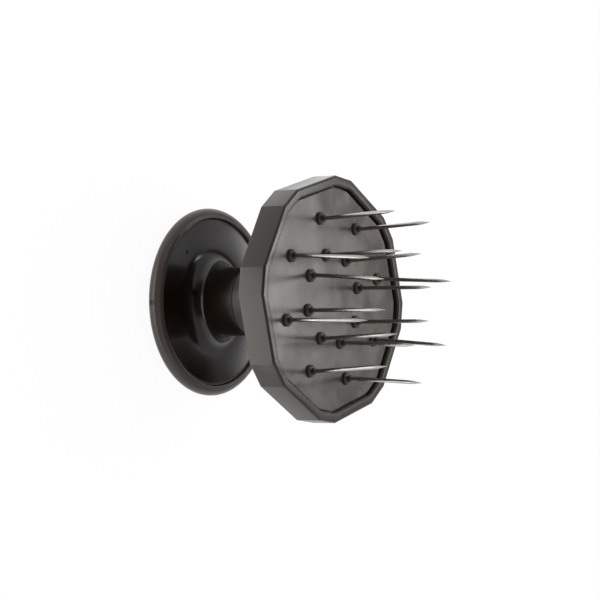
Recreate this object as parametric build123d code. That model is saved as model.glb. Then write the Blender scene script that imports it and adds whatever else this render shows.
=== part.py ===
from build123d import *
import math
import os

# Hand needle tenderizer for meat, standing on its palm knob with the needles upward along +Z.
# The origin is the centre of the flat land on the palm face.
# Lengths are in millimetres and angles in degrees.

# Every cut runs this far past the faces that it opens.
cut_overrun = 1.0

# Palm cap: a domed shell with a rolled rim
knob_diameter = 59.0
knob_edge_radius = 2.4
palm_land_diameter = 28.0
palm_crown_slope = 30.0
cap_wall = 2.2
lip_flat = 0.1
lip_round = 0.6
ledge_width = 2.4
gate_angle = 188.5
gate_pocket_diameter = 1.7
gate_pocket_depth = 0.45
gate_nub_diameter = 0.8
gate_nub_height = 0.25

# Finger flange: a dished disc that carries the lower half of the neck
flange_thickness = 2.0
flange_clearance = 0.08
flange_edge_round = 0.25
lip_step = 0.9
face_dish = 0.8
face_dish_middle_share = 0.36
neck_diameter = 21.6
neck_wall = 2.6
neck_flare_radius = 5.8
neck_length = 15.6
seam_chamfer = 0.15
ejector_mark_diameter = 1.5
ejector_mark_depth = 0.25
ejector_mark_radius = 20.2
ejector_mark_angle = 138.0

# Head shell: a clipped octagon that carries the upper half of the neck
head_width = 72.2
head_corner_clip = 4.55
head_front_round = 0.75
head_corner_extra_round = 0.25
head_back_round = 0.6
rim_flat = 1.65
rim_slope_width = 0.5
rim_slope_drop = 0.5
rim_crest_round = 0.3
rim_inner_corner_round = 6.0
head_floor = 2.2
support_ring_width = 2.4
support_ring_height = 1.9
stem_length = 22.5
stem_root_round = 2.0
spigot_length = 9.0
spigot_clearance = 0.1
spigot_web = 3.0
key_width = 2.4
key_height = 1.0
key_length = 6.0
key_clearance = 0.1

# Needle plate: a shallow tray, open to the back, that snaps into the head shell.
# Its front edge is stepped, which leaves a groove inside the rim.
plate_recess = 1.3
plate_thickness = 2.2
plate_clearance = 0.12
plate_step_width = 0.38
plate_step_depth = 0.8
plate_edge_round = 0.3
skirt_wall = 1.8
snap_length = 8.0
snap_height = 1.6
snap_reach = 0.6
snap_clearance = 0.1

# Backing plate: a steel disc behind the needles
backing_thickness = 1.5
backing_clearance = 1.8
backing_edge_round = 0.3

# Needles stand on two rings at the same angles
outer_ring_margin = 11.1
ring_spacing = 11.3
needles_per_ring = 8
first_needle_angle = 22.5
needle_diameter = 1.2
needle_reach = 27.2
needle_point_length = 5.2
needle_shoulder_share = 0.85
needle_shoulder_length_share = 0.4
needle_tip_diameter = 0.08
needle_head_clearance = 0.09
needle_head_thickness = 0.7
needle_bend_radius = 12.0
needle_bend_gap = 0.5

# Hand-set needles lean a little: degrees towards +X and towards +Y, counted round from the first angle
outer_lean_angles = [
    (0.5, -3.0),
    (-0.5, 2.5),
    (-1.0, 2.5),
    (2.5, -3.0),
    (5.0, -0.5),
    (1.0, 3.5),
    (1.5, -3.0),
    (-1.0, -4.5),
]
inner_lean_angles = [
    (-1.0, -1.0),
    (0.5, 3.0),
    (0.0, 1.0),
    (-2.5, -4.5),
    (1.0, -0.5),
    (0.5, 2.5),
    (-0.5, -2.5),
    (-1.5, -0.5),
]

# Ferrules: stepped collars that hold the needles in the plate
ferrule_diameter = 3.9
ferrule_edge_height = 0.6
ferrule_dome_height = 0.55
ferrule_bulge_share = 0.68
ferrule_stub_wall = 0.36
ferrule_stub_height = 0.95
ferrule_stub_round = 0.25
ferrule_shank_diameter = 2.6
ferrule_clearance = 0.04

# Centre screw and its washer
screw_diameter = 3.5
screw_end_chamfer = 0.5
screw_head_diameter = 6.8
screw_head_height = 2.4
screw_head_round = 0.8
screw_recess_length = 4.0
screw_recess_width = 0.9
screw_recess_depth = 1.4
screw_clearance = 0.05
washer_diameter = 8.4
washer_thickness = 0.9
washer_clearance = 0.2
well_clearance = 0.4
screw_boss_wall = 2.8
screw_boss_gap = 0.2
screw_boss_floor = 1.4
screw_end_gap = 0.5

# Radii worked out from the diameters
land_radius = palm_land_diameter / 2
rim_centre_radius = knob_diameter / 2 - knob_edge_radius
lip_bore_radius = rim_centre_radius - lip_flat - lip_round
ledge_radius = lip_bore_radius - ledge_width
flange_radius = lip_bore_radius - flange_clearance
neck_radius = neck_diameter / 2
neck_bore_radius = neck_radius - neck_wall
spigot_radius = neck_bore_radius - spigot_clearance
well_radius = washer_diameter / 2 + well_clearance
screw_hole_radius = screw_diameter / 2 + screw_clearance
washer_bore_radius = screw_diameter / 2 + washer_clearance
plate_hole_radius = ferrule_shank_diameter / 2 + ferrule_clearance
needle_head_radius = plate_hole_radius - needle_head_clearance
ferrule_bore_radius = needle_diameter / 2 + ferrule_clearance
ferrule_stub_radius = ferrule_bore_radius + ferrule_stub_wall
outer_ring_radius = head_width / 2 - outer_ring_margin
inner_ring_radius = outer_ring_radius - ring_spacing
head_corner_round = head_front_round + head_corner_extra_round

# Heights above the palm land, from the bottom up
crown_slope = math.radians(palm_crown_slope)
crown_radius = knob_edge_radius + (rim_centre_radius - land_radius) / math.sin(crown_slope)
rim_centre_z = crown_radius - (crown_radius - knob_edge_radius) * math.cos(crown_slope)
lip_z = rim_centre_z + knob_edge_radius
face_edge_z = lip_z - lip_step
face_root_z = face_edge_z - face_dish
ledge_z = face_root_z - flange_thickness
seam_z = face_root_z + neck_length
spigot_end_z = seam_z - spigot_length
screw_seat_z = spigot_end_z + spigot_web
screw_boss_z = spigot_end_z - screw_boss_gap
screw_shoulder_z = screw_seat_z + washer_thickness
screw_hole_end_z = cap_wall + screw_boss_floor
screw_end_z = screw_hole_end_z + screw_end_gap
head_back_z = seam_z + stem_length
head_floor_z = head_back_z + head_floor
backing_back_z = head_floor_z + support_ring_height
plate_back_z = backing_back_z + backing_thickness
plate_front_z = plate_back_z + plate_thickness
plate_step_z = plate_front_z - plate_step_depth
head_front_z = plate_front_z + plate_recess
ferrule_edge_z = plate_front_z + ferrule_edge_height
ferrule_dome_z = ferrule_edge_z + ferrule_dome_height
ferrule_top_z = ferrule_dome_z + ferrule_stub_height
needle_bend_z = ferrule_top_z + needle_bend_gap
needle_tip_z = plate_front_z + needle_reach

# Insets of the head's outlines from its outer sides
rim_crest_inset = head_front_round + rim_flat
rim_wall_inset = rim_crest_inset + rim_slope_width
plate_inset = rim_wall_inset + plate_clearance
panel_inset = plate_inset + plate_step_width
skirt_inset = plate_inset + skirt_wall
backing_radius = head_width / 2 - skirt_inset - backing_clearance

# The head has one long and one short side in every step of the needle pattern.
needle_step = 360 / needles_per_ring
side_turn = math.radians(needle_step / 2)


def turned(*edges):
    """Solid of revolution about Z from a closed outline drawn as radius and height."""
    return revolve(Plane.XZ * make_face(edges), Axis.Z)


def ring(outer_radius, inner_radius, low_z, high_z):
    """Round ring about Z between two heights."""
    flat_ring = Circle(outer_radius) - Circle(inner_radius)
    return Pos(0, 0, low_z) * extrude(flat_ring, high_z - low_z)


def disc(radius, low_z, high_z):
    """Round disc about Z between two heights."""
    return Pos(0, 0, low_z) * extrude(Circle(radius), high_z - low_z)


def round_edge(shape, radius, height):
    """The round edge of a shape about Z that passes through one radius at one height."""
    return shape.edges().sort_by_distance(Vector(-radius, 0, height))[0]


def head_outline(inset, corner_round):
    """Clipped octagon of the head with all its sides moved inwards by one inset.

    The long sides face the needles and the short sides clip the corners between them.
    """
    turn_cos = math.cos(side_turn)
    turn_sin = math.sin(side_turn)
    outer_half_side = math.tan(side_turn) * head_width / 2 - head_corner_clip
    short_apothem = turn_cos * head_width / 2 + turn_sin * outer_half_side - inset
    long_apothem = head_width / 2 - inset
    half_long_side = (short_apothem - turn_cos * long_apothem) / turn_sin
    corners = []
    for step in range(needles_per_ring):
        for half_side in (-half_long_side, half_long_side):
            corner = Vector(long_apothem, half_side)
            corners.append(corner.rotate(Axis.Z, first_needle_angle + step * needle_step))
    outline = Polygon(*corners, align=None)
    return fillet(outline.vertices(), corner_round)


def head_prism(inset, corner_round, low_z, high_z):
    """Upright prism on the head's outline between two heights."""
    return Pos(0, 0, low_z) * extrude(head_outline(inset, corner_round), high_z - low_z)


def needle_places():
    """Name ending, ring radius, angle and lean of every needle, ring by ring."""
    places = []
    rings = (
        ("outer", outer_ring_radius, outer_lean_angles),
        ("inner", inner_ring_radius, inner_lean_angles),
    )
    for ring_name, ring_radius, leans in rings:
        for number in range(needles_per_ring):
            angle = first_needle_angle + number * needle_step
            lean = leans[number % len(leans)]
            places.append((f"{ring_name}_{number + 1}", ring_radius, angle, lean))
    return places


def on_ring(ring_radius, angle):
    """Location on a needle ring, with the axes left parallel to the part's own."""
    place = Vector(ring_radius, 0).rotate(Axis.Z, angle)
    return Pos(place.X, place.Y, 0)


def make_palm_cap():
    """Domed palm moulding: rolled rim, ledge for the flange, hollow inside and a screw boss."""
    tangent_radius = land_radius + crown_radius * math.sin(crown_slope)
    tangent_z = crown_radius - crown_radius * math.cos(crown_slope)
    rim_outermost = (rim_centre_radius + knob_edge_radius, rim_centre_z)
    crown_middle = (
        land_radius + crown_radius * math.sin(crown_slope / 2),
        crown_radius - crown_radius * math.cos(crown_slope / 2),
    )
    lip_middle = (
        lip_bore_radius + lip_round - lip_round * math.sin(math.pi / 4),
        lip_z - lip_round + lip_round * math.sin(math.pi / 4),
    )
    outline = (
        Line((0, 0), (land_radius, 0)),
        ThreePointArc((land_radius, 0), crown_middle, (tangent_radius, tangent_z)),
        ThreePointArc((tangent_radius, tangent_z), rim_outermost, (rim_centre_radius, lip_z)),
        Line((rim_centre_radius, lip_z), (lip_bore_radius + lip_round, lip_z)),
        ThreePointArc(
            (lip_bore_radius + lip_round, lip_z), lip_middle, (lip_bore_radius, lip_z - lip_round)
        ),
        Line((lip_bore_radius, lip_z - lip_round), (lip_bore_radius, ledge_z)),
        Line((lip_bore_radius, ledge_z), (0, ledge_z)),
        Line((0, ledge_z), (0, 0)),
    )
    cap = turned(*outline)
    cap -= cap_hollow()
    boss_radius = screw_hole_radius + screw_boss_wall
    cap += disc(boss_radius, cap_wall, screw_boss_z)
    cap -= disc(screw_hole_radius, screw_hole_end_z, screw_boss_z + cut_overrun)
    return add_gate_mark(cap)


def cap_hollow():
    """Hollow of the palm cap: it follows the crown at one wall thickness and opens at the ledge."""
    inner_radius = crown_radius - cap_wall
    reach = math.asin((ledge_radius - land_radius) / inner_radius)
    arc_end = (ledge_radius, crown_radius - inner_radius * math.cos(reach))
    arc_middle = (
        land_radius + inner_radius * math.sin(reach / 2),
        crown_radius - inner_radius * math.cos(reach / 2),
    )
    top_z = ledge_z + cut_overrun
    return turned(
        Line((0, cap_wall), (land_radius, cap_wall)),
        ThreePointArc((land_radius, cap_wall), arc_middle, arc_end),
        Line(arc_end, (ledge_radius, top_z)),
        Line((ledge_radius, top_z), (0, top_z)),
        Line((0, top_z), (0, cap_wall)),
    )


def add_gate_mark(cap):
    """Moulding gate on the rim: a small round pocket with the broken sprue's nub in it."""
    rim_plane = Plane(origin=(0, 0, rim_centre_z), x_dir=(0, 0, 1), z_dir=(1, 0, 0))
    pocket_floor = knob_diameter / 2 - gate_pocket_depth
    to_floor = Rot(0, 0, gate_angle) * rim_plane.offset(pocket_floor).location
    pocket = to_floor * extrude(Circle(gate_pocket_diameter / 2), gate_pocket_depth + cut_overrun)
    nub = to_floor * extrude(Circle(gate_nub_diameter / 2), gate_nub_height, both=True)
    return cap - pocket + nub


def make_finger_flange():
    """Dished disc with the lower neck: it sits on the cap's ledge and takes the head's spigot."""
    flare_outer = neck_radius + neck_flare_radius
    flare_top_z = face_root_z + neck_flare_radius
    flare_middle = (
        flare_outer - neck_flare_radius * math.sin(math.pi / 4),
        flare_top_z - neck_flare_radius * math.sin(math.pi / 4),
    )
    dish_middle_radius = (flare_outer + flange_radius) / 2
    dish_middle = (dish_middle_radius, face_root_z + face_dish_middle_share * face_dish)
    flange = turned(
        Line((neck_bore_radius, ledge_z), (flange_radius, ledge_z)),
        Line((flange_radius, ledge_z), (flange_radius, face_edge_z)),
        ThreePointArc((flange_radius, face_edge_z), dish_middle, (flare_outer, face_root_z)),
        ThreePointArc((flare_outer, face_root_z), flare_middle, (neck_radius, flare_top_z)),
        Line((neck_radius, flare_top_z), (neck_radius, seam_z)),
        Line((neck_radius, seam_z), (neck_bore_radius, seam_z)),
        Line((neck_bore_radius, seam_z), (neck_bore_radius, ledge_z)),
    )
    flange = fillet(round_edge(flange, flange_radius, face_edge_z), flange_edge_round)
    flange = chamfer(round_edge(flange, neck_radius, seam_z), seam_chamfer)
    flange -= neck_keys(key_clearance, cut_overrun)
    mark_place = Vector(ejector_mark_radius, 0).rotate(Axis.Z, ejector_mark_angle)
    mark_floor_z = face_root_z + face_dish_middle_share * face_dish - ejector_mark_depth
    mark = disc(ejector_mark_diameter / 2, mark_floor_z, face_edge_z + cut_overrun)
    return flange - Pos(mark_place.X, mark_place.Y, 0) * mark


def neck_keys(clearance, overrun):
    """Two keys either side of the spigot, grown by a clearance for the slots that take them."""
    low_z = seam_z - key_length - clearance
    width = key_width + 2 * clearance
    reach = spigot_radius + key_height + clearance
    bar = extrude(Rectangle(2 * reach, width), key_length + clearance + overrun)
    core = extrude(Circle(spigot_radius - key_height), key_length + clearance + overrun)
    return Pos(0, 0, low_z) * (bar - core)


def make_head_shell():
    """Head moulding: clipped-octagon dish with a sloped rim, support rings, stem, spigot and well."""
    shell = head_prism(0, head_corner_round, head_back_z, head_front_z)
    shell = fillet(shell.edges().group_by(Axis.Z)[-1], head_front_round)
    shell = fillet(shell.edges().group_by(Axis.Z)[0], head_back_round)
    shell += disc(neck_radius, seam_z, head_floor_z)
    shell = fillet(round_edge(shell, neck_radius, head_back_z), stem_root_round)
    shell = chamfer(round_edge(shell, neck_radius, seam_z), seam_chamfer)
    shell -= rim_slope()
    shell -= head_prism(rim_wall_inset, rim_inner_corner_round, head_floor_z, head_front_z)
    crest = shell.faces().sort_by(Axis.Z)[-1]
    shell = fillet(crest.inner_wires()[0].edges(), rim_crest_round)
    shell -= snap_wedges(snap_clearance)
    for ring_radius in (outer_ring_radius, inner_ring_radius):
        half_width = support_ring_width / 2
        shell += ring(ring_radius + half_width, ring_radius - half_width, head_floor_z, backing_back_z)
    shell += disc(spigot_radius, spigot_end_z, seam_z)
    shell += neck_keys(0, 0)
    shell -= disc(well_radius, screw_seat_z, head_floor_z + cut_overrun)
    shell -= disc(screw_hole_radius, spigot_end_z - cut_overrun, screw_seat_z + cut_overrun)
    return shell


def rim_slope():
    """Sloped inner side of the rim, from its crest down to the wall round the plate."""
    crest = Pos(0, 0, head_front_z) * head_outline(rim_crest_inset, rim_inner_corner_round)
    foot_z = head_front_z - rim_slope_drop
    foot = Pos(0, 0, foot_z) * head_outline(rim_wall_inset, rim_inner_corner_round)
    return loft([foot, crest], ruled=True)


def snap_wedges(clearance):
    """Snap ridges along every other long side of the plate's skirt, or the pockets that take them."""
    base = head_width / 2 - plate_inset
    middle_z = (head_floor_z + plate_back_z) / 2
    half_height = snap_height / 2 + clearance
    profile = Polygon(
        (base - skirt_wall / 2, middle_z - half_height),
        (base, middle_z - half_height),
        (base + snap_reach + clearance, middle_z),
        (base, middle_z + half_height),
        (base - skirt_wall / 2, middle_z + half_height),
        align=None,
    )
    ridge = extrude(Plane.XZ * profile, snap_length / 2 + clearance, both=True)
    wedges = Part()
    for step in range(0, needles_per_ring, 2):
        wedges += Rot(0, 0, first_needle_angle + step * needle_step) * ridge
    return wedges


def make_needle_plate():
    """Front panel with a stepped edge, a skirt at the back, snap ridges and ferrule holes."""
    plate = head_prism(plate_inset, rim_inner_corner_round, head_floor_z, plate_step_z)
    plate += head_prism(panel_inset, rim_inner_corner_round, plate_step_z, plate_front_z)
    plate = fillet(plate.edges().group_by(Axis.Z)[-1], plate_edge_round)
    plate -= head_prism(skirt_inset, rim_inner_corner_round, head_floor_z - cut_overrun, plate_back_z)
    plate += snap_wedges(0)
    hole = disc(plate_hole_radius, plate_back_z - cut_overrun, plate_front_z + cut_overrun)
    for name_ending, ring_radius, angle, lean in needle_places():
        plate -= on_ring(ring_radius, angle) * hole
    return plate


def make_backing_plate():
    """Steel disc between the needles' heads and the shell's support rings."""
    plate = disc(backing_radius, backing_back_z, plate_back_z)
    return fillet(plate.edges(), backing_edge_round)


def make_needle(lean):
    """Needle on its own axis: flat head, straight shank, slight bend and a leaning free end."""
    slope_x = math.tan(math.radians(lean[0]))
    slope_y = math.tan(math.radians(lean[1]))
    lean_angle = math.degrees(math.atan(math.hypot(slope_x, slope_y)))
    lean_direction = math.degrees(math.atan2(slope_y, slope_x))
    bend_start = Plane(origin=(0, 0, needle_bend_z))
    bend_axis = Axis((needle_bend_radius, 0, needle_bend_z), (0, 1, 0))
    bend = revolve(bend_start * Circle(needle_diameter / 2), bend_axis, lean_angle)
    bend_length = needle_bend_radius * math.radians(lean_angle)
    free_end = needle_free_end(needle_tip_z - needle_bend_z - bend_length)
    needle = needle_shank() + bend + free_end.rotate(bend_axis, lean_angle)
    return Rot(0, 0, lean_direction) * needle


def needle_shank():
    """Upright part of a needle, from its flat head behind the plate to the start of its bend."""
    radius = needle_diameter / 2
    head_z = plate_back_z + needle_head_thickness
    return turned(
        Line((0, plate_back_z), (needle_head_radius, plate_back_z)),
        Line((needle_head_radius, plate_back_z), (needle_head_radius, head_z)),
        Line((needle_head_radius, head_z), (radius, head_z)),
        Line((radius, head_z), (radius, needle_bend_z)),
        Line((radius, needle_bend_z), (0, needle_bend_z)),
        Line((0, needle_bend_z), (0, plate_back_z)),
    )


def needle_free_end(length):
    """Free end of a needle, upright above the bend: ground to a slow taper, a shoulder and a sharper tip."""
    radius = needle_diameter / 2
    tip_z = needle_bend_z + length
    point_z = tip_z - needle_point_length
    shoulder_z = point_z + needle_point_length * needle_shoulder_length_share
    shoulder_radius = radius * needle_shoulder_share
    tip_radius = needle_tip_diameter / 2
    return turned(
        Line((0, needle_bend_z), (radius, needle_bend_z)),
        Line((radius, needle_bend_z), (radius, point_z)),
        Line((radius, point_z), (shoulder_radius, shoulder_z)),
        Line((shoulder_radius, shoulder_z), (tip_radius, tip_z)),
        Line((tip_radius, tip_z), (0, tip_z)),
        Line((0, tip_z), (0, needle_bend_z)),
    )


def make_ferrule():
    """Collar on its own axis: shank in the plate, domed flange and a short stub round the needle."""
    bore = ferrule_bore_radius
    shank = ferrule_shank_diameter / 2
    edge = ferrule_diameter / 2
    stub = ferrule_stub_radius
    bottom_z = plate_back_z + needle_head_thickness
    dome_middle = (
        (edge + stub) / 2,
        ferrule_edge_z + ferrule_bulge_share * ferrule_dome_height,
    )
    ferrule = turned(
        Line((bore, bottom_z), (shank, bottom_z)),
        Line((shank, bottom_z), (shank, plate_front_z)),
        Line((shank, plate_front_z), (edge, plate_front_z)),
        Line((edge, plate_front_z), (edge, ferrule_edge_z)),
        ThreePointArc((edge, ferrule_edge_z), dome_middle, (stub, ferrule_dome_z)),
        Line((stub, ferrule_dome_z), (stub, ferrule_top_z)),
        Line((stub, ferrule_top_z), (bore, ferrule_top_z)),
        Line((bore, ferrule_top_z), (bore, bottom_z)),
    )
    return fillet(round_edge(ferrule, stub, ferrule_top_z), ferrule_stub_round)


def make_centre_screw():
    """Pan-head screw with a cross recess: it clamps the head, the neck and the palm cap together."""
    head_top_z = screw_shoulder_z + screw_head_height
    head = disc(screw_head_diameter / 2, screw_shoulder_z, head_top_z)
    head = fillet(head.edges().group_by(Axis.Z)[-1], screw_head_round)
    shank = disc(screw_diameter / 2, screw_end_z, screw_shoulder_z)
    shank = chamfer(shank.edges().group_by(Axis.Z)[0], screw_end_chamfer)
    slot = Rectangle(screw_recess_length, screw_recess_width)
    cross = slot + Rot(0, 0, 90) * slot
    recess = extrude(cross, screw_recess_depth + cut_overrun)
    return head + shank - Pos(0, 0, head_top_z - screw_recess_depth) * recess


def make_screw_washer():
    """Plain washer under the screw's head."""
    return ring(washer_diameter / 2, washer_bore_radius, screw_seat_z, screw_shoulder_z)


def build_parts():
    """Every piece of the tenderizer in its place, by its node's name."""
    parts = {
        "palm_cap": make_palm_cap(),
        "finger_flange": make_finger_flange(),
        "head_shell": make_head_shell(),
        "needle_plate": make_needle_plate(),
        "backing_plate": make_backing_plate(),
        "centre_screw": make_centre_screw(),
        "screw_washer": make_screw_washer(),
    }
    ferrule = make_ferrule()
    for name_ending, ring_radius, angle, lean in needle_places():
        place = on_ring(ring_radius, angle)
        parts["needle_" + name_ending] = place * make_needle(lean)
        parts["ferrule_" + name_ending] = place * ferrule
    return parts


os.makedirs("parts", exist_ok=True)
for node_name, shape in build_parts().items():
    export_step(shape, f"parts/{node_name}.step")
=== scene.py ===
"""Looks of a hand needle tenderizer for meat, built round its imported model."""

from __future__ import annotations

import logging
import math
from dataclasses import dataclass, field
from enum import Enum
from itertools import pairwise

import bmesh
import bpy
from mathutils import Euler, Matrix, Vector

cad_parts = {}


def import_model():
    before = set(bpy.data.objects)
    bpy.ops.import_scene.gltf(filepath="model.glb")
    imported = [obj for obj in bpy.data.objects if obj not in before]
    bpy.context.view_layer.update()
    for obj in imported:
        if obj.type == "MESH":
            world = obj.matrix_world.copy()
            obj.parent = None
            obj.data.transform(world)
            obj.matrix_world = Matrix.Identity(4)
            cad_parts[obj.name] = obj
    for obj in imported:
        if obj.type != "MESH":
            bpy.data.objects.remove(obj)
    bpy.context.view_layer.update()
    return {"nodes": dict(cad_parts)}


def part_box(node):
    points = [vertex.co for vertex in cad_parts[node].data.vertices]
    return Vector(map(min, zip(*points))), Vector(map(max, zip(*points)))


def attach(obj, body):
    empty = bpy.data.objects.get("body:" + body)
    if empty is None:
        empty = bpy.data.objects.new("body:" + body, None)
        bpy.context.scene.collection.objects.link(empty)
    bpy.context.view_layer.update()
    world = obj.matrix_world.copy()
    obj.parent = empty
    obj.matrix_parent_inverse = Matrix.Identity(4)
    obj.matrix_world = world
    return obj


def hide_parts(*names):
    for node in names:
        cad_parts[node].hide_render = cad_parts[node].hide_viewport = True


LOG = logging.getLogger("tenderizer")
MM = 0.001
BODY = "root"
# Points nearer to each other than this are one point.
MERGE_MM = 0.001

Profile = list[tuple[float, float]]


class Ring(Enum):
    """The two rings that the needles stand on."""

    OUTER = "outer"
    INNER = "inner"


# ---- finishes

# Typical of ABS.
ABS_IOR = 1.48
# Noise levels between which a cloud, a scuff or a die line fades in.
CLOUD_EDGES = (0.36, 0.64)
SCUFF_EDGES = (0.64, 0.74)
DIE_LINE_EDGES = (0.3, 0.7)
# Real scuffs are hairlines. Here they come from this coarser noise, or they would not show.
SCUFF_MM = 0.5
SCUFF_TURN = (0.3, 0.5, 0.7)
# Share of the noise's pace along scuffs and die lines, which draws them out.
SCUFF_PACE = 0.06
DIE_LINE_PACE = 0.04


def linear(hex_colour: str) -> tuple[float, float, float, float]:
    """Turns an sRGB hex colour into a linear one.

    Args:
        hex_colour: Six hex digits after a hash sign.

    Returns:
        Linear red, green and blue, with an alpha of one.
    """
    parts = [int(hex_colour[i : i + 2], 16) / 255 for i in (1, 3, 5)]
    red, green, blue = (c / 12.92 if c <= 0.04045 else ((c + 0.055) / 1.055) ** 2.4 for c in parts)
    return (red, green, blue, 1.0)


def per_metre(size_mm: float) -> float:
    """Texture scale at which one feature is about as wide as a size in millimetres."""
    return 1.0 / (size_mm * MM)


def add_node(
    tree: bpy.types.NodeTree,
    kind: str,
    inputs: dict[str | int, object] | None = None,
    **settings: object,
) -> bpy.types.Node:
    """Adds one node, with its settings, values and links.

    Args:
        tree: Node tree that gets the node.
        kind: Blender's type name of the node.
        inputs: Socket name or number, with the value or the output socket that goes there.
        **settings: Properties of the node itself.

    Returns:
        The new node.
    """
    node = tree.nodes.new(kind)
    for key, value in settings.items():
        setattr(node, key, value)
    for key, value in (inputs or {}).items():
        if isinstance(value, bpy.types.NodeSocket):
            tree.links.new(value, node.inputs[key])
        else:
            node.inputs[key].default_value = value
    return node


def new_tree(name: str) -> tuple[bpy.types.Material, bpy.types.NodeTree]:
    """Makes an empty node material.

    Args:
        name: Name of the material.

    Returns:
        The material and its node tree.
    """
    material = bpy.data.materials.new(name)
    material.use_nodes = True
    material.node_tree.nodes.clear()
    return material, material.node_tree


@dataclass(frozen=True)
class MouldedPlastic:
    """Injection-moulded ABS: the mould's polish sets its gloss, and flow and sinking leave it uneven."""

    name: str
    colour: str
    cloud_colour: str
    roughness: float
    roughness_swing: float
    scuff_roughness: float
    cloud_mm: float
    sink_mm: float
    sink_depth_mm: float
    grain_mm: float
    grain_depth_mm: float

    def material(self) -> bpy.types.Material:
        """Material of this plastic, made on first use."""
        return bpy.data.materials.get(self.name) or self.build()

    def build(self) -> bpy.types.Material:
        """Builds the node material.

        Returns:
            Plastic with cloudy tone, uneven gloss, fine scuffs, sink marks and a mould grain.
        """
        material, tree = new_tree(self.name)
        place = add_node(tree, "ShaderNodeTexCoord").outputs["Object"]
        clouds = add_node(
            tree,
            "ShaderNodeTexNoise",
            {"Vector": place, "Scale": per_metre(self.cloud_mm), "Detail": 2.0, "Roughness": 0.5},
        ).outputs["Fac"]
        patches = add_node(
            tree,
            "ShaderNodeMapRange",
            {"Value": clouds, "From Min": CLOUD_EDGES[0], "From Max": CLOUD_EDGES[1]},
            interpolation_type="SMOOTHSTEP",
        ).outputs["Result"]
        colour = add_node(
            tree,
            "ShaderNodeMix",
            {"Factor": patches, "A": linear(self.colour), "B": linear(self.cloud_colour)},
            data_type="RGBA",
        )
        shader = add_node(
            tree,
            "ShaderNodeBsdfPrincipled",
            {
                "Base Color": colour.outputs["Result"],
                "Roughness": self.add_gloss(tree, place, patches),
                "Normal": self.add_relief(tree, place),
                "IOR": ABS_IOR,
            },
        )
        add_node(tree, "ShaderNodeOutputMaterial", {"Surface": shader.outputs["BSDF"]})
        return material

    def add_gloss(
        self, tree: bpy.types.NodeTree, place: bpy.types.NodeSocket, patches: bpy.types.NodeSocket
    ) -> bpy.types.NodeSocket:
        """Adds uneven gloss: patches swing the roughness, and thin handling scuffs dull it.

        Args:
            tree: Node tree of the material.
            place: Object coordinates.
            patches: Cloud pattern, from zero to one.

        Returns:
            Socket with the roughness.
        """
        swing = add_node(
            tree,
            "ShaderNodeMapRange",
            {
                "Value": patches,
                "To Min": self.roughness - self.roughness_swing,
                "To Max": self.roughness + self.roughness_swing,
            },
        )
        stretch = add_node(
            tree,
            "ShaderNodeMapping",
            {"Vector": place, "Rotation": SCUFF_TURN, "Scale": (1.0, SCUFF_PACE, 1.0)},
        )
        hairs = add_node(
            tree,
            "ShaderNodeTexNoise",
            {"Vector": stretch.outputs["Vector"], "Scale": per_metre(SCUFF_MM), "Detail": 2.0},
        )
        scuffs = add_node(
            tree,
            "ShaderNodeMapRange",
            {
                "Value": hairs.outputs["Fac"],
                "From Min": SCUFF_EDGES[0],
                "From Max": SCUFF_EDGES[1],
                "To Max": self.scuff_roughness,
            },
        )
        total = add_node(
            tree,
            "ShaderNodeMath",
            {0: swing.outputs["Result"], 1: scuffs.outputs["Result"]},
            operation="ADD",
            use_clamp=True,
        )
        return total.outputs["Value"]

    def add_relief(self, tree: bpy.types.NodeTree, place: bpy.types.NodeSocket) -> bpy.types.NodeSocket:
        """Adds broad sink marks with the mould's fine grain on them.

        Args:
            tree: Node tree of the material.
            place: Object coordinates.

        Returns:
            Socket with the bumped normal.
        """
        normal = None
        sinks = (self.sink_mm, self.sink_depth_mm)
        grain = (self.grain_mm, self.grain_depth_mm)
        for size_mm, depth_mm in (sinks, grain):
            noise = add_node(
                tree,
                "ShaderNodeTexNoise",
                {"Vector": place, "Scale": per_metre(size_mm), "Detail": 1.5, "Roughness": 0.4},
            )
            bump = add_node(
                tree,
                "ShaderNodeBump",
                {"Height": noise.outputs["Fac"], "Strength": 1.0, "Distance": depth_mm * MM},
            )
            if normal is not None:
                tree.links.new(normal, bump.inputs["Normal"])
            normal = bump.outputs["Normal"]
        return normal


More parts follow.
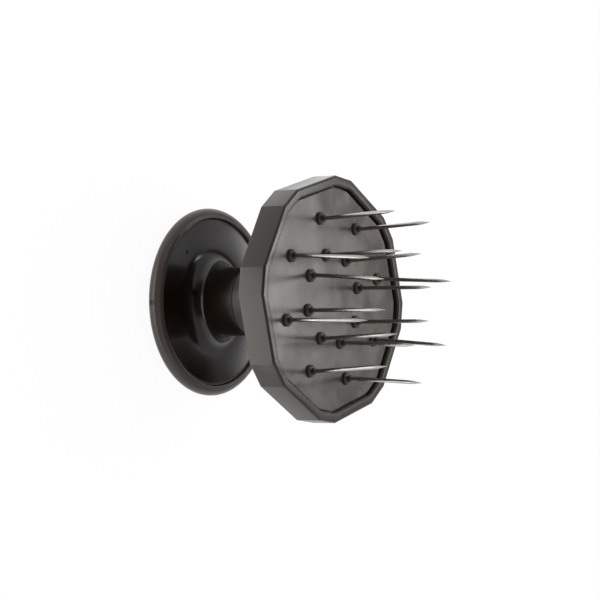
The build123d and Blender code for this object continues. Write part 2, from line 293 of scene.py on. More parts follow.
@dataclass(frozen=True)
class DrawnSteel:
    """Drawn and polished steel: fine lines run along it and streak its highlights."""

    name: str
    colour: str
    streak_colour: str
    roughness: float
    roughness_swing: float
    line_mm: float
    line_depth_mm: float

    def material(self) -> bpy.types.Material:
        """Material of this steel, made on first use."""
        return bpy.data.materials.get(self.name) or self.build()

    def build(self) -> bpy.types.Material:
        """Builds the node material.

        Returns:
            Metal with lengthwise lines in its tone, its gloss and its relief.
        """
        material, tree = new_tree(self.name)
        place = add_node(tree, "ShaderNodeTexCoord").outputs["Object"]
        # The lines are drawn five times as wide as real die marks, which would not show.
        stretch = add_node(
            tree, "ShaderNodeMapping", {"Vector": place, "Scale": (1.0, 1.0, DIE_LINE_PACE)}
        )
        lines = add_node(
            tree,
            "ShaderNodeTexNoise",
            {"Vector": stretch.outputs["Vector"], "Scale": per_metre(self.line_mm), "Detail": 3.0},
        ).outputs["Fac"]
        tone = add_node(
            tree,
            "ShaderNodeMix",
            {"Factor": lines, "A": linear(self.colour), "B": linear(self.streak_colour)},
            data_type="RGBA",
        )
        gloss = add_node(
            tree,
            "ShaderNodeMapRange",
            {
                "Value": lines,
                "From Min": DIE_LINE_EDGES[0],
                "From Max": DIE_LINE_EDGES[1],
                "To Min": self.roughness - self.roughness_swing,
                "To Max": self.roughness + self.roughness_swing,
            },
        )
        bump = add_node(
            tree,
            "ShaderNodeBump",
            {"Height": lines, "Strength": 1.0, "Distance": self.line_depth_mm * MM},
        )
        shader = add_node(
            tree,
            "ShaderNodeBsdfPrincipled",
            {
                "Base Color": tone.outputs["Result"],
                "Metallic": 1.0,
                "Roughness": gloss.outputs["Result"],
                "Normal": bump.outputs["Normal"],
            },
        )
        add_node(tree, "ShaderNodeOutputMaterial", {"Surface": shader.outputs["BSDF"]})
        return material


# Satin mould: the rolled rim that the palm closes on shows broad, soft lights. Its colour is painted lighter
# than the flange's black plastic: black ABS with a painted sheen that brightens the rim's broad light.
CAP_ABS_WITH_PAINTED_SHEEN = MouldedPlastic(
    name="abs_satin_black_cap_painted_sheen",
    # Both tones are lighter than the plastic itself, so the whole cap carries a painted sheen.
    colour="#423b36",
    cloud_colour="#4a423d",
    roughness=0.27,
    roughness_swing=0.03,
    scuff_roughness=0.05,
    cloud_mm=14.0,
    sink_mm=12.0,
    sink_depth_mm=0.01,
    grain_mm=0.8,
    grain_depth_mm=0.003,
)
# Polished mould: the disc mirrors the neck and the head, so it is black wherever they shade it.
FLANGE_ABS = MouldedPlastic(
    name="abs_gloss_black_flange",
    colour="#17110b",
    cloud_colour="#1c150f",
    roughness=0.15,
    roughness_swing=0.02,
    scuff_roughness=0.04,
    cloud_mm=14.0,
    sink_mm=12.0,
    sink_depth_mm=0.01,
    grain_mm=1.6,
    grain_depth_mm=0.002,
)
# Same plastic from a less polished mould: the facets hold one even tone each, and the rim is softly lit.
HEAD_ABS = MouldedPlastic(
    name="abs_semi_gloss_black_head",
    colour="#2a221b",
    cloud_colour="#312820",
    roughness=0.28,
    roughness_swing=0.03,
    scuff_roughness=0.05,
    cloud_mm=16.0,
    sink_mm=12.0,
    sink_depth_mm=0.02,
    grain_mm=1.0,
    grain_depth_mm=0.003,
)
# Satin mould: the panel spreads the lamp over its whole face, and its sink marks break that into clouds.
# The marks are drawn several times as deep as real ones, or they would not show.
PLATE_ABS = MouldedPlastic(
    name="abs_satin_black_plate",
    colour="#443d37",
    cloud_colour="#58504a",
    roughness=0.27,
    roughness_swing=0.04,
    scuff_roughness=0.05,
    cloud_mm=11.0,
    sink_mm=13.0,
    sink_depth_mm=0.3,
    grain_mm=0.6,
    grain_depth_mm=0.005,
)
# Small satin mouldings: brownish black, with soft glints on their round edges.
COLLAR_ABS = MouldedPlastic(
    name="abs_satin_black_collar",
    colour="#2c2521",
    cloud_colour="#362e29",
    roughness=0.3,
    roughness_swing=0.03,
    scuff_roughness=0.03,
    cloud_mm=3.0,
    sink_mm=2.0,
    sink_depth_mm=0.01,
    grain_mm=0.5,
    grain_depth_mm=0.002,
)
# Stainless spring wire, drawn and polished: bright, with streaks along it.
NEEDLE_STEEL = DrawnSteel(
    name="stainless_polished_wire",
    colour="#bab8b4",
    streak_colour="#9c9a96",
    roughness=0.25,
    roughness_swing=0.06,
    line_mm=0.25,
    line_depth_mm=0.004,
)
# Mild steel with bright zinc: a cooler and duller grey than the needles.
ZINC_STEEL = DrawnSteel(
    name="steel_zinc_plated",
    colour="#b9bcc0",
    streak_colour="#9a9da2",
    roughness=0.36,
    roughness_swing=0.08,
    line_mm=0.8,
    line_depth_mm=0.006,
)


# ---- modelling by operators


def deselect() -> None:
    """Leaves edit mode and deselects every object."""
    if bpy.context.object is not None and bpy.context.object.mode != "OBJECT":
        bpy.ops.object.mode_set(mode="OBJECT")
    bpy.ops.object.select_all(action="DESELECT")


def choose(piece: bpy.types.Object) -> None:
    """Makes one piece the only selected and active one."""
    deselect()
    piece.select_set(True)
    bpy.context.view_layer.objects.active = piece


def arc(
    centre: tuple[float, float], radius: float, start: float, end: float, steps: int
) -> Profile:
    """Points along an arc of a profile.

    Args:
        centre: Radius and height of the arc's centre.
        radius: Radius of the arc.
        start: First angle in degrees, counted from outwards to upwards.
        end: Last angle in degrees.
        steps: Number of steps along the arc.

    Returns:
        Points from start to end, both included.
    """
    angles = [math.radians(start + (end - start) * i / steps) for i in range(steps + 1)]
    return [(centre[0] + radius * math.cos(a), centre[1] + radius * math.sin(a)) for a in angles]


def lathe(name: str, profile: Profile, steps: int) -> bpy.types.Object:
    """Extrudes a point along a profile and spins the line round the Z axis.

    Args:
        name: Name of the new piece.
        profile: Radius and height of each point, in millimetres.
        steps: Number of faces round the axis.

    Returns:
        The closed piece.
    """
    deselect()
    bpy.ops.mesh.primitive_plane_add(size=MM)
    piece = bpy.context.object
    piece.name = piece.data.name = name
    bpy.ops.object.mode_set(mode="EDIT")
    bpy.ops.mesh.select_mode(type="VERT")
    bpy.ops.mesh.select_all(action="SELECT")
    bpy.ops.mesh.merge(type="CENTER")
    bpy.ops.transform.translate(value=(profile[0][0] * MM, 0.0, profile[0][1] * MM))
    for here, there in pairwise(profile):
        step = ((there[0] - here[0]) * MM, 0.0, (there[1] - here[1]) * MM)
        bpy.ops.mesh.extrude_vertices_move(TRANSFORM_OT_translate={"value": step})
    bpy.ops.mesh.select_all(action="SELECT")
    bpy.ops.mesh.spin(steps=steps, angle=math.tau, center=(0.0, 0.0, 0.0), axis=(0.0, 0.0, 1.0))
    close_up()
    return piece


def close_up() -> None:
    """Merges doubled points of the mesh in edit mode, turns its faces outwards and leaves edit mode."""
    bpy.ops.mesh.select_all(action="SELECT")
    bpy.ops.mesh.remove_doubles(threshold=MERGE_MM * MM)
    bpy.ops.mesh.normals_make_consistent(inside=False)
    bpy.ops.object.mode_set(mode="OBJECT")


def cut(piece: bpy.types.Object, cutter: bpy.types.Object) -> None:
    """Cuts one closed piece out of another and deletes the cutter.

    Args:
        piece: Piece that is cut.
        cutter: Closed piece that is taken away.
    """
    choose(piece)
    modifier = piece.modifiers.new("cut", "BOOLEAN")
    modifier.operation = "DIFFERENCE"
    modifier.solver = "EXACT"
    modifier.object = cutter
    bpy.ops.object.modifier_apply(modifier=modifier.name)
    bpy.data.objects.remove(cutter)


def dress(
    piece: bpy.types.Object,
    finish: MouldedPlastic | DrawnSteel,
    node: str,
    crease: float = 32.0,
) -> None:
    """Smooths a new piece, gives it its finish and puts it in its node's place.

    Args:
        piece: New piece, at the origin.
        finish: Finish that it gets.
        node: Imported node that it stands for.
        crease: Angle in degrees from which edges stay sharp.
    """
    choose(piece)
    bpy.ops.object.shade_smooth_by_angle(angle=math.radians(crease))
    piece.data.materials.clear()
    piece.data.materials.append(finish.material())
    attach(piece, BODY)
    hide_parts(node)
    LOG.info("%s stands for %s in %s", piece.name, node, finish.name)


@dataclass
class OutlineRing:
    """One level of a stack: a clipped octagon, or a circle where the radius is set."""

    height: float
    inset: float = 0.0
    corner_round: float = 0.0
    radius: float | None = None


# ---- palm knob


@dataclass
class PalmKnob:
    """Palm cap and finger flange: the turned lower half of the tool. Sizes are in millimetres."""

    knob_radius: float = 29.5
    edge_radius: float = 2.4
    land_radius: float = 14.0
    crown_slope: float = 30.0
    cap_wall: float = 2.2
    lip_flat: float = 0.1
    lip_round: float = 0.6
    lip_step: float = 0.9
    ledge_width: float = 2.4
    flange_thickness: float = 2.0
    flange_clearance: float = 0.08
    flange_edge_round: float = 0.25
    face_dish: float = 0.8
    neck_radius: float = 10.8
    neck_wall: float = 2.6
    flare_radius: float = 5.8
    seam_chamfer: float = 0.15
    boss_radius: float = 4.6
    boss_hole_radius: float = 1.8
    boss_hole_end: float = 3.6
    dish_power: float = 1.5
    dish_steps: int = 12
    gate_angle: float = 188.5
    gate_radius: float = 0.8
    gate_depth: float = 0.45
    gate_flare: float = 0.1
    gate_overrun: float = 1.0
    nub_radius: float = 0.4
    nub_depth: float = 0.2
    nub_fall: float = 0.05
    nub_draft: float = 0.02
    gate_faces: int = 24
    mark_angle: float = 138.0
    mark_place: float = 20.2
    mark_face_share: float = 0.26
    mark_depth: float = 0.16
    mark_floor_radius: float = 0.62
    mark_mouth_radius: float = 0.78
    mark_overrun: float = 1.5
    mark_faces: int = 32
    faces_round: int = 160

    def __post_init__(self) -> None:
        """Works out the heights and radii that both mouldings share."""
        slope = math.radians(self.crown_slope)
        self.rim_radius = self.knob_radius - self.edge_radius
        self.crown_radius = self.edge_radius + (self.rim_radius - self.land_radius) / math.sin(slope)
        self.rim_z = self.crown_radius - (self.crown_radius - self.edge_radius) * math.cos(slope)
        self.lip_z = self.rim_z + self.edge_radius
        self.lip_bore = self.rim_radius - self.lip_flat - self.lip_round
        self.face_edge_z = self.lip_z - self.lip_step
        self.face_root_z = self.face_edge_z - self.face_dish
        self.ledge_z = self.face_root_z - self.flange_thickness
        self.seam_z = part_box("finger_flange")[1].z / MM
        self.boss_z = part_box("palm_cap")[1].z / MM

    def cap_profile(self) -> Profile:
        """Outline of the palm cap, from the palm land round the rim and back along the hollow."""
        hollow = self.crown_radius - self.cap_wall
        ledge = self.lip_bore - self.ledge_width
        reach = math.degrees(math.asin((ledge - self.land_radius) / hollow))
        crown_centre = (self.land_radius, self.crown_radius)
        rim_centre = (self.rim_radius, self.rim_z)
        lip_centre = (self.lip_bore + self.lip_round, self.lip_z - self.lip_round)
        return [
            (0.0, 0.0),
            *arc(crown_centre, self.crown_radius, -90.0, -90.0 + self.crown_slope, steps=18),
            *arc(rim_centre, self.edge_radius, -90.0 + self.crown_slope, 90.0, steps=22)[1:],
            *arc(lip_centre, self.lip_round, 90.0, 180.0, steps=7),
            (self.lip_bore, self.ledge_z),
            (ledge, self.ledge_z),
            *reversed(arc(crown_centre, hollow, -90.0, -90.0 + reach, steps=10)),
            (self.boss_radius, self.cap_wall),
            (self.boss_radius, self.boss_z),
            (self.boss_hole_radius, self.boss_z),
            (self.boss_hole_radius, self.boss_hole_end),
            (0.0, self.boss_hole_end),
        ]

    def flange_profile(self) -> Profile:
        """Outline of the finger flange, up its dished face and the neck and back down the bore."""
        bore = self.neck_radius - self.neck_wall
        edge = self.lip_bore - self.flange_clearance
        root = self.neck_radius + self.flare_radius
        span = edge - self.flange_edge_round - root
        dish = [
            (root + span * share, self.face_root_z + self.face_dish * share**self.dish_power)
            for share in self.shares(self.dish_steps)
        ]
        edge_centre = (edge - self.flange_edge_round, self.face_edge_z - self.flange_edge_round)
        flare_centre = (root, self.face_root_z + self.flare_radius)
        chamfer = self.seam_chamfer
        return [
            (bore, self.ledge_z),
            (edge, self.ledge_z),
            *arc(edge_centre, self.flange_edge_round, 0.0, 90.0, steps=4),
            *reversed(dish[:-1]),
            *arc(flare_centre, self.flare_radius, 270.0, 180.0, steps=18)[1:],
            (self.neck_radius, self.seam_z - chamfer),
            (self.neck_radius - chamfer, self.seam_z),
            (bore, self.seam_z),
            (bore, self.ledge_z),
        ]

    @staticmethod
    def shares(steps: int) -> list[float]:
        """Even shares from zero to one, both included."""
        return [i / steps for i in range(steps + 1)]

    def build_cap(self) -> bpy.types.Object:
        """Turns the palm cap and cuts the moulding gate into its rim.

        Returns:
            The finished palm cap.
        """
        cap = lathe("palm_cap_moulding", self.cap_profile(), self.faces_round)
        outline: Profile = [
            (0.0, -self.nub_depth),
            (self.nub_radius, -self.nub_depth - self.nub_fall),
            (self.nub_radius + self.nub_draft, -self.gate_depth),
            (self.gate_radius, -self.gate_depth),
            (self.gate_radius + self.gate_flare, self.gate_overrun),
            (0.0, self.gate_overrun),
        ]
        gate = lathe("gate_cutter", outline, self.gate_faces)
        turn = math.radians(self.gate_angle)
        self.stand(gate, Vector((0.0, math.radians(90.0), turn)))
        place = Vector((math.cos(turn), math.sin(turn), 0.0)) * self.knob_radius
        self.shift(gate, place + Vector((0.0, 0.0, self.rim_z)))
        cut(cap, gate)
        return cap

    def build_flange(self) -> bpy.types.Object:
        """Turns the finger flange and presses the ejector pin's mark into its face.

        Returns:
            The finished finger flange.
        """
        flange = lathe("finger_flange_moulding", self.flange_profile(), self.faces_round)
        face_z = self.face_root_z + self.mark_face_share * self.face_dish
        outline: Profile = [
            (0.0, -self.mark_depth),
            (self.mark_floor_radius, -self.mark_depth),
            (self.mark_mouth_radius, self.mark_overrun),
            (0.0, self.mark_overrun),
        ]
        pin = lathe("pin_cutter", outline, self.mark_faces)
        turn = math.radians(self.mark_angle)
        place = Vector((math.cos(turn), math.sin(turn), 0.0)) * self.mark_place
        self.shift(pin, place + Vector((0.0, 0.0, face_z)))
        cut(flange, pin)
        return flange

    @staticmethod
    def stand(piece: bpy.types.Object, turn: Vector) -> None:
        """Turns a piece by Euler angles and applies the turn."""
        choose(piece)
        piece.rotation_euler = Euler(turn)
        bpy.ops.object.transform_apply(location=False, rotation=True, scale=False)

    @staticmethod
    def shift(piece: bpy.types.Object, place: Vector) -> None:
        """Moves a piece to a place in millimetres and applies the move."""
        choose(piece)
        piece.location = place * MM
        bpy.ops.object.transform_apply(location=True, rotation=False, scale=False)

    def build(self) -> None:
        """Builds and dresses both mouldings."""
        dress(self.build_cap(), CAP_ABS_WITH_PAINTED_SHEEN, "palm_cap")
        dress(self.build_flange(), FLANGE_ABS, "finger_flange")


# ---- head


@dataclass
class HeadShell:
    """Clipped-octagon dish with the upper neck. Sizes are in millimetres."""

    width: float = 72.2
    corner_clip: float = 4.55
    corner_round: float = 1.0
    front_round: float = 0.75
    back_round: float = 0.6
    rim_flat: float = 1.65
    slope_width: float = 0.5
    slope_drop: float = 0.5
    crest_round: float = 0.3
    inner_round: float = 6.0
    floor: float = 2.2
    depth: float = 9.1
    support_rings: tuple[float, ...] = (13.7, 25.0)
    support_width: float = 2.4
    support_height: float = 1.9
    stem_radius: float = 10.8
    stem_root_round: float = 2.0
    seam_chamfer: float = 0.15
    spigot_radius: float = 8.1
    screw_hole_radius: float = 1.8
    web: float = 3.0
    well_radius: float = 4.6
    sides: int = 8
    corner_steps: int = 5
    circle_points: int = 96
    bridge_gap: float = 20.0
    crease: float = 20.0

    def __post_init__(self) -> None:
        """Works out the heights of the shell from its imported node."""
        low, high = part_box("head_shell")
        self.front_z = high.z / MM
        self.back_z = self.front_z - self.depth
        self.floor_z = self.back_z + self.floor
        self.seam_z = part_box("finger_flange")[1].z / MM
        self.spigot_z = low.z / MM

    def rim_levels(self) -> list[OutlineRing]:
        """Clipped-octagon levels, from the floor up the inner wall, over the rim and down the outside."""
        wall_inset = self.front_round + self.rim_flat + self.slope_width
        crest_inset = self.front_round + self.rim_flat
        foot_z = self.front_z - self.slope_drop
        slope = math.degrees(math.atan2(self.slope_drop, self.slope_width))
        tangent = self.crest_round * math.tan(math.radians(slope / 2))
        crest_centre = (crest_inset - tangent, self.front_z - self.crest_round)
        levels = [OutlineRing(self.floor_z, wall_inset, self.inner_round)]
        levels.append(OutlineRing(foot_z, wall_inset, self.inner_round))
        for across, height in reversed(arc(crest_centre, self.crest_round, 90.0, 90.0 - slope, steps=4)):
            levels.append(OutlineRing(height, across, self.inner_round))
        front_centre = (self.front_round, self.front_z - self.front_round)
        for across, height in arc(front_centre, self.front_round, 90.0, 180.0, steps=7):
            levels.append(OutlineRing(height, across, self.corner_round - across))
        back_centre = (self.back_round, self.back_z + self.back_round)
        for across, height in arc(back_centre, self.back_round, 180.0, 270.0, steps=5):
            levels.append(OutlineRing(height, across, self.corner_round - across))
        return levels

    def stem_levels(self) -> list[OutlineRing]:
        """Round levels, from the back face down the stem and the spigot and up the screw's well."""
        root_radius = self.stem_radius + self.stem_root_round
        root_centre = (root_radius, self.back_z - self.stem_root_round)
        profile: Profile = [
            *arc(root_centre, self.stem_root_round, 90.0, 180.0, steps=8),
            (self.stem_radius, self.seam_z + self.seam_chamfer),
            (self.stem_radius - self.seam_chamfer, self.seam_z),
            (self.spigot_radius, self.seam_z),
            (self.spigot_radius, self.spigot_z),
            (self.screw_hole_radius, self.spigot_z),
            (self.screw_hole_radius, self.spigot_z + self.web),
            (self.well_radius, self.spigot_z + self.web),
            (self.well_radius, self.floor_z),
        ]
        half = self.support_width / 2
        top = self.floor_z + self.support_height
        for ring in self.support_rings:
            profile += [(ring - half, self.floor_z), (ring - half, top)]
            profile += [(ring + half, top), (ring + half, self.floor_z)]
        return [OutlineRing(height, radius=radius) for radius, height in profile]

    def add_level(self, level: OutlineRing, height: float) -> None:
        """Adds one level to the mesh in edit mode: a circle, or an octagon with clipped and rounded corners.

        Args:
            level: Level that is added.
            height: Height that it is laid out at, in millimetres.
        """
        place = (0.0, 0.0, height * MM)
        if level.radius is not None:
            bpy.ops.mesh.primitive_circle_add(
                vertices=self.circle_points, radius=level.radius * MM, location=place
            )
            return
        half_turn = math.pi / self.sides
        apothem = self.width / 2 - level.inset
        bpy.ops.mesh.primitive_circle_add(
            vertices=self.sides, radius=apothem / math.cos(half_turn) * MM, location=place
        )
        clip = self.corner_clip - level.inset * (1 / math.cos(half_turn) - 1) / math.sin(half_turn)
        bpy.ops.mesh.bevel(
            offset_type="OFFSET", offset=clip * MM, segments=1, affect="VERTICES", clamp_overlap=False
        )
        bpy.ops.mesh.bevel(
            offset_type="OFFSET",
            offset=level.corner_round * math.tan(half_turn / 2) * MM,
            segments=self.corner_steps,
            affect="VERTICES",
            clamp_overlap=False,
        )

    def build_shell(self) -> bpy.types.Object:
        """Lays out every level, bridges each to the next and the last to the first, and sets the heights.

        The levels are bridged well apart, because the bridge twists between loops in one plane.

        Returns:
            The finished shell.
        """
        levels = self.rim_levels() + self.stem_levels()
        deselect()
        bpy.ops.mesh.primitive_plane_add(size=MM)
        shell = bpy.context.object
        shell.name = shell.data.name = "head_shell_moulding"
        bpy.ops.object.mode_set(mode="EDIT")
        bpy.ops.mesh.select_mode(type="VERT")
        bpy.ops.mesh.delete(type="VERT")
        mesh = bmesh.from_edit_mesh(shell.data)
        mesh.verts.layers.int.new("level")
        for number, level in enumerate(levels):
            self.add_level(level, number * self.bridge_gap)
            mesh = bmesh.from_edit_mesh(shell.data)
            layer = mesh.verts.layers.int["level"]
            for point in mesh.verts:
                if point.select:
                    point[layer] = number
        bpy.ops.mesh.select_mode(type="EDGE")
        for number in range(len(levels)):
            self.select_levels(shell, {number, (number + 1) % len(levels)})
            bpy.ops.mesh.bridge_edge_loops()
        for number, level in enumerate(levels):
            self.select_levels(shell, {number})
            drop = level.height - number * self.bridge_gap
            bpy.ops.transform.translate(value=(0.0, 0.0, drop * MM))
        close_up()
        return shell

    @staticmethod
    def select_levels(shell: bpy.types.Object, numbers: set[int]) -> None:
        """Selects the edges that lie within single levels.

        Args:
            shell: Piece in edit mode.
            numbers: Numbers of the levels.
        """
        bpy.ops.mesh.select_all(action="DESELECT")
        mesh = bmesh.from_edit_mesh(shell.data)
        layer = mesh.verts.layers.int["level"]
        for edge in mesh.edges:
            first, second = (point[layer] for point in edge.verts)
            if first == second and first in numbers:
                edge.select_set(True)
        bmesh.update_edit_mesh(shell.data)

    def build(self) -> None:
        """Builds and dresses the shell."""
        dress(self.build_shell(), HEAD_ABS, "head_shell", crease=self.crease)


# ---- needles and collars


@dataclass
class NeedleSet:
    """Needles in two rings, each in its stepped collar. Sizes are in millimetres, leans in degrees."""

    wire_radius: float = 0.6
    point_length: float = 5.2
    point_tip_radius: float = 0.04
    shoulder_share: float = 0.85
    shoulder_place: float = 0.4
    head_radius: float = 1.25
    head_thickness: float = 0.7
    reach: float = 27.2
    bend_gap: float = 0.5
    bend_length: float = 1.0
    bend_steps: int = 4
    collar_radius: float = 1.95
    collar_edge: float = 0.6
    collar_dome: float = 0.55
    collar_bulge: float = 0.68
    dome_steps: int = 8
    stub_radius: float = 1.0
    stub_height: float = 0.95
    stub_round: float = 0.25
    stub_foot: float = 0.05
    collar_foot: float = 0.08
    collar_shank_radius: float = 1.3
    collar_bore: float = 0.64
    needle_faces: int = 28
    collar_faces: int = 48
    leans: dict[Ring, tuple[tuple[float, float], ...]] = field(
        default_factory=lambda: {
            Ring.OUTER: (
                (0.5, -3.0),
                (-0.5, 2.5),
                (-1.0, 2.5),
                (2.5, -3.0),
                (5.0, -0.5),
                (1.0, 3.5),
                (1.5, -3.0),
                (-1.0, -4.5),
            ),
            Ring.INNER: (
                (-1.0, -1.0),
                (0.5, 3.0),
                (0.0, 1.0),
                (-2.5, -4.5),
                (1.0, -0.5),
                (0.5, 2.5),
                (-0.5, -2.5),
                (-1.5, -0.5),
            ),
        }
    )

    def __post_init__(self) -> None:
        """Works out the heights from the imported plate."""
        self.plate_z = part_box("needle_plate")[1].z / MM
        self.root_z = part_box("needle_outer_1")[0].z / MM
        self.stub_z = self.plate_z + self.collar_edge + self.collar_dome + self.stub_height
        self.bend_z = self.stub_z + self.bend_gap
        self.tip_z = self.plate_z + self.reach

    def needle_profile(self) -> Profile:
        """Outline of an upright needle: flat head, shank, close levels in the bend and a ground point."""
        point_z = self.tip_z - self.point_length
        steps = range(self.bend_steps + 1)
        bend = [self.bend_z + self.bend_length * i / self.bend_steps for i in steps]
        point = [
            (self.wire_radius, point_z),
            (self.wire_radius * self.shoulder_share, point_z + self.point_length * self.shoulder_place),
            (self.point_tip_radius, self.tip_z),
        ]
        head_z = self.root_z + self.head_thickness
        return [
            (0.0, self.root_z),
            (self.head_radius, self.root_z),
            (self.head_radius, head_z),
            (self.wire_radius, head_z),
            *[(self.wire_radius, z) for z in bend],
            *point,
            (0.0, self.tip_z),
        ]

    def collar_profile(self) -> Profile:
        """Outline of a collar: shank in the plate, domed flange, short stub and bore."""
        bottom = self.root_z + self.head_thickness
        edge_z = self.plate_z + self.collar_edge
        dome_z = edge_z + self.collar_dome
        fall = self.collar_radius - self.stub_radius
        # Half way in, the dome has risen by collar_bulge of its height.
        bulge = 4 * (self.collar_bulge - 0.5)
        shares = [i / self.dome_steps for i in range(self.dome_steps + 1)]
        rises = [share * (1 + bulge * (1 - share)) for share in shares]
        dome = [
            (self.collar_radius - fall * share, edge_z + self.collar_dome * rise)
            for share, rise in zip(shares, rises)
        ]
        stub_centre = (self.stub_radius - self.stub_round, self.stub_z - self.stub_round)
        return [
            (self.collar_bore, bottom),
            (self.collar_shank_radius, bottom),
            (self.collar_shank_radius, self.plate_z),
            (self.collar_radius - self.collar_foot, self.plate_z),
            (self.collar_radius, self.plate_z + self.collar_foot),
            *dome,
            (self.stub_radius, dome_z + self.stub_foot),
            *arc(stub_centre, self.stub_round, 0.0, 90.0, steps=5),
            (self.collar_bore, self.stub_z),
            (self.collar_bore, bottom),
        ]

    @staticmethod
    def place(ring: Ring, number: int) -> Vector:
        """Axis of a needle on the plate, from its packed collar, in metres."""
        low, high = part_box(f"ferrule_{ring.value}_{number}")
        return Vector(((low.x + high.x) / 2, (low.y + high.y) / 2, 0.0))

    @staticmethod
    def copy_to(master: bpy.types.Object, name: str, place: Vector) -> bpy.types.Object:
        """Copies a master piece with its own mesh and moves the copy's mesh.

        Args:
            master: Piece that is copied.
            name: Name of the copy.
            place: How far the copy moves, in metres.

        Returns:
            The copy, still at the origin.
        """
        choose(master)
        bpy.ops.object.duplicate(linked=False)
        copy = bpy.context.object
        copy.name = copy.data.name = name
        bpy.ops.object.mode_set(mode="EDIT")
        bpy.ops.mesh.select_all(action="SELECT")
        bpy.ops.transform.translate(value=place)
        bpy.ops.object.mode_set(mode="OBJECT")
        return copy

    def lean(self, needle: bpy.types.Object, place: Vector, towards: tuple[float, float]) -> None:
        """Bends a needle above its collar, in small turns, so that its free end leans.

        Args:
            needle: Upright needle.
            place: Axis of the needle on the plate, in metres.
            towards: Lean towards +X and towards +Y, in degrees.
        """
        choose(needle)
        bpy.ops.object.mode_set(mode="EDIT")
        bpy.ops.mesh.select_mode(type="VERT")
        step = self.bend_length / self.bend_steps * MM
        pivot = Vector((place.x, place.y, self.bend_z * MM))
        direction = Vector((0.0, 0.0, 1.0))
        turn = [math.radians(angle / self.bend_steps) for angle in towards]
        for number in range(self.bend_steps):
            bpy.ops.mesh.select_all(action="DESELECT")
            mesh = bmesh.from_edit_mesh(needle.data)
            for point in mesh.verts:
                point.select_set(point.co.z > self.bend_z * MM + (number + 0.5) * step)
            bmesh.update_edit_mesh(needle.data)
            # With no window the rotate operator turns the other way, so the signs are swapped.
            bpy.ops.transform.rotate(value=-turn[0], orient_axis="Y", center_override=pivot)
            bpy.ops.transform.rotate(value=turn[1], orient_axis="X", center_override=pivot)
            direction.rotate(Euler((-turn[1], turn[0], 0.0)))
            pivot = pivot + direction * step
        bpy.ops.object.mode_set(mode="OBJECT")

    def build(self) -> None:
        """Models one needle and one collar, and copies them to every place."""
        needle = lathe("needle_master", self.needle_profile(), self.needle_faces)
        collar = lathe("collar_master", self.collar_profile(), self.collar_faces)
        for ring in Ring:
            for number, towards in enumerate(self.leans[ring], start=1):
                ending = f"{ring.value}_{number}"
                place = self.place(ring, number)
                wire = self.copy_to(needle, f"needle_{ending}_wire", place)
                self.lean(wire, place, towards)
                dress(wire, NEEDLE_STEEL, f"needle_{ending}")
                seat = self.copy_to(collar, f"ferrule_{ending}_collar", place)
                dress(seat, COLLAR_ABS, f"ferrule_{ending}")
        for master in (needle, collar):
            bpy.data.objects.remove(master)


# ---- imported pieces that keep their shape


@dataclass
class PackedPieces:
    """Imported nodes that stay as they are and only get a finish."""

    nodes: dict[str, bpy.types.Object]
    finishes: dict[str, MouldedPlastic | DrawnSteel] = field(
        default_factory=lambda: {
            "needle_plate": PLATE_ABS,
            "backing_plate": ZINC_STEEL,
            "centre_screw": ZINC_STEEL,
            "screw_washer": ZINC_STEEL,
        }
    )

    def dress(self) -> None:
        """Puts each finish in the node's material slots."""
        for name, finish in self.finishes.items():
            mesh = self.nodes[name].data
            if not mesh.materials:
                mesh.materials.append(finish.material())
            for slot in range(len(mesh.materials)):
                mesh.materials[slot] = finish.material()
            LOG.info("%s keeps its packed shape, in %s", name, finish.name)


# ---- studio


@dataclass(frozen=True)
class SoftBox:
    """One soft lamp. Its place and what it is aimed at are in metres."""

    name: str
    place: tuple[float, float, float]
    aim: tuple[float, float, float]
    width: float
    height: float
    watts: float

    def hang(self) -> None:
        """Hangs the lamp and turns its face to its aim."""
        lamp = bpy.data.lights.new(self.name, "AREA")
        lamp.shape = "RECTANGLE"
        lamp.size = self.width
        lamp.size_y = self.height
        lamp.energy = self.watts
        box = bpy.data.objects.new(self.name, lamp)
        box.location = self.place
        box.rotation_euler = (Vector(self.place) - Vector(self.aim)).to_track_quat("Z", "Y").to_euler()
        bpy.context.scene.collection.objects.link(box)


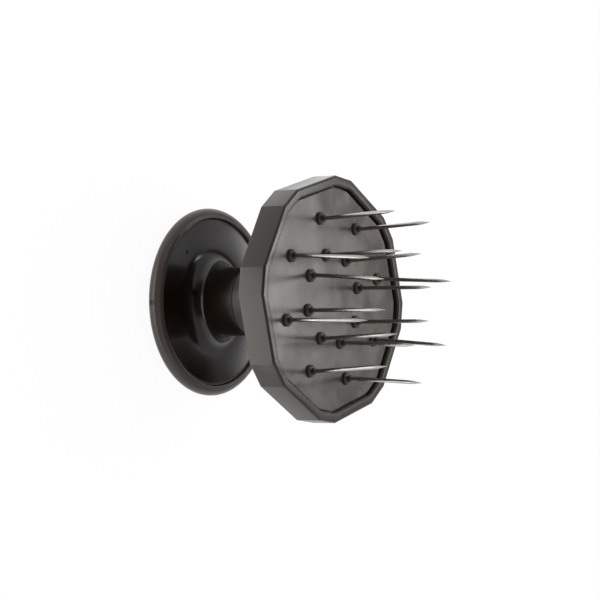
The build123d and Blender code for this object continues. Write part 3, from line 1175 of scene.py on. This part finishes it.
@dataclass
class Studio:
    """White floor and walls, a dim ceiling with a dark gap, three soft boxes and the photo's camera."""

    lens_mm: float = 128.93
    sensor_mm: float = 36.0
    camera_place: tuple[float, float, float] = (-0.52964, -0.08442, 0.42107)
    camera_turn: tuple[float, float, float] = (1.99, -54.6, 6.61)
    floor_size: float = 6.0
    floor_gap: float = 0.00005
    floor_white_share: float = 0.9
    floor_glow: float = 1.05
    fill_level: float = 0.55
    wall_top: float = 0.2
    ceiling_start: float = 0.45
    ceiling_bright: float = 0.6
    ceiling_dark: float = 0.03
    gap_middle: float = 0.26
    gap_core: float = 0.04
    gap_edge: float = 0.2
    camera_side: float = 0.1
    unlit_from: float = -0.8
    unlit_to: float = -0.3
    lamps: tuple[SoftBox, ...] = (
        SoftBox("high_soft_box", (0.172, 0.06, 0.262), (0.0, 0.0, 0.053), 0.135, 0.117, 0.3),
        SoftBox("side_soft_box", (0.02, 0.1, 0.001), (0.02, 0.1, 0.1), 0.13, 0.06, 0.018),
        SoftBox("low_soft_box", (-0.11, -0.045, 0.001), (-0.11, -0.045, 0.1), 0.14, 0.13, 0.1),
    )

    def add_camera(self) -> None:
        """Sets the camera up where the photograph was taken from."""
        lens = bpy.data.cameras.new("photo_camera")
        lens.lens = self.lens_mm
        lens.sensor_width = self.sensor_mm
        lens.clip_start = 0.01
        lens.clip_end = 50.0
        lens.dof.use_dof = False
        camera = bpy.data.objects.new("photo_camera", lens)
        camera.location = self.camera_place
        camera.rotation_euler = Euler([math.radians(a) for a in self.camera_turn])
        bpy.context.scene.collection.objects.link(camera)
        bpy.context.scene.camera = camera

    @staticmethod
    def mirrored(path: bpy.types.Node, tree: bpy.types.NodeTree) -> bpy.types.NodeSocket:
        """Adds a test for gloss and transmission.

        Args:
            path: Light path node.
            tree: Node tree that gets the test.

        Returns:
            Socket that is one for those rays and zero for the rest.
        """
        either = add_node(
            tree,
            "ShaderNodeMath",
            {0: path.outputs["Is Glossy Ray"], 1: path.outputs["Is Transmission Ray"]},
            operation="MAXIMUM",
        )
        return either.outputs["Value"]

    def add_surroundings(self) -> None:
        """Makes the world white to the eye, a white-walled room to gloss, and a fill for the rest."""
        world = bpy.data.worlds.new("white_studio")
        world.use_nodes = True
        tree = world.node_tree
        tree.nodes.clear()
        path = add_node(tree, "ShaderNodeLightPath")
        direction = add_node(tree, "ShaderNodeTexCoord").outputs["Generated"]
        axes = add_node(tree, "ShaderNodeSeparateXYZ", {"Vector": direction})
        # The ceiling has a dark gap between two white panels.
        aside = add_node(
            tree, "ShaderNodeMath", {0: axes.outputs["Y"], 1: self.gap_middle}, operation="SUBTRACT"
        )
        apart = add_node(tree, "ShaderNodeMath", {0: aside.outputs["Value"]}, operation="ABSOLUTE")
        ceiling = add_node(
            tree,
            "ShaderNodeMapRange",
            {
                "Value": apart.outputs["Value"],
                "From Min": self.gap_core,
                "From Max": self.gap_edge,
                "To Min": self.ceiling_dark,
                "To Max": self.ceiling_bright,
            },
            interpolation_type="SMOOTHSTEP",
        )
        # The photographer's side of the room is unlit.
        unlit = add_node(
            tree,
            "ShaderNodeMapRange",
            {
                "Value": axes.outputs["X"],
                "From Min": self.unlit_from,
                "From Max": self.unlit_to,
                "To Min": self.camera_side,
            },
            interpolation_type="SMOOTHSTEP",
        )
        room = add_node(
            tree,
            "ShaderNodeMapRange",
            {
                "Value": axes.outputs["Z"],
                "From Min": self.wall_top,
                "From Max": self.ceiling_start,
                "To Min": 1.0,
                "To Max": ceiling.outputs["Result"],
            },
            interpolation_type="SMOOTHSTEP",
        )
        gloss = add_node(
            tree,
            "ShaderNodeMath",
            {0: room.outputs["Result"], 1: unlit.outputs["Result"]},
            operation="MULTIPLY",
        )
        unseen = add_node(
            tree,
            "ShaderNodeMix",
            {"Factor": self.mirrored(path, tree), "A": self.fill_level, "B": gloss.outputs["Value"]},
        )
        level = add_node(
            tree,
            "ShaderNodeMix",
            {"Factor": path.outputs["Is Camera Ray"], "A": unseen.outputs["Result"], "B": 1.0},
        )
        light = add_node(
            tree,
            "ShaderNodeBackground",
            {"Color": linear("#ffffff"), "Strength": level.outputs["Result"]},
        )
        add_node(tree, "ShaderNodeOutputWorld", {"Surface": light.outputs["Background"]})
        bpy.context.scene.world = world

    def add_floor(self) -> None:
        """Lays the white floor, which keeps a faint shadow of the tool."""
        deselect()
        bpy.ops.mesh.primitive_plane_add(size=self.floor_size, location=(0.0, 0.0, -self.floor_gap))
        floor = bpy.context.object
        floor.name = "studio_floor"
        material, tree = new_tree("white_paper_floor")
        path = add_node(tree, "ShaderNodeLightPath")
        seen = add_node(
            tree,
            "ShaderNodeMath",
            {0: path.outputs["Is Camera Ray"], 1: self.mirrored(path, tree)},
            operation="MAXIMUM",
        )
        share = add_node(
            tree,
            "ShaderNodeMath",
            {0: seen.outputs["Value"], 1: self.floor_white_share},
            operation="MULTIPLY",
        )
        paper = add_node(tree, "ShaderNodeBsdfDiffuse", {"Color": linear("#f6f6f5")})
        glow = add_node(
            tree, "ShaderNodeEmission", {"Color": linear("#ffffff"), "Strength": self.floor_glow}
        )
        both = add_node(
            tree,
            "ShaderNodeMixShader",
            {0: share.outputs["Value"], 1: paper.outputs["BSDF"], 2: glow.outputs["Emission"]},
        )
        add_node(tree, "ShaderNodeOutputMaterial", {"Surface": both.outputs["Shader"]})
        floor.data.materials.append(material)

    def build(self) -> None:
        """Builds the whole studio."""
        self.add_camera()
        self.add_surroundings()
        self.add_floor()
        for lamp in self.lamps:
            lamp.hang()
        bpy.context.scene.view_settings.view_transform = "Standard"
        LOG.info("studio ready")


def main() -> None:
    """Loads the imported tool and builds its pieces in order."""
    logging.basicConfig(level=logging.INFO, format="%(name)s: %(message)s")
    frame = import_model()
    PalmKnob().build()
    HeadShell().build()
    NeedleSet().build()
    PackedPieces(frame["nodes"]).dress()
    Studio().build()
    deselect()


if __name__ == "__main__":
    main()
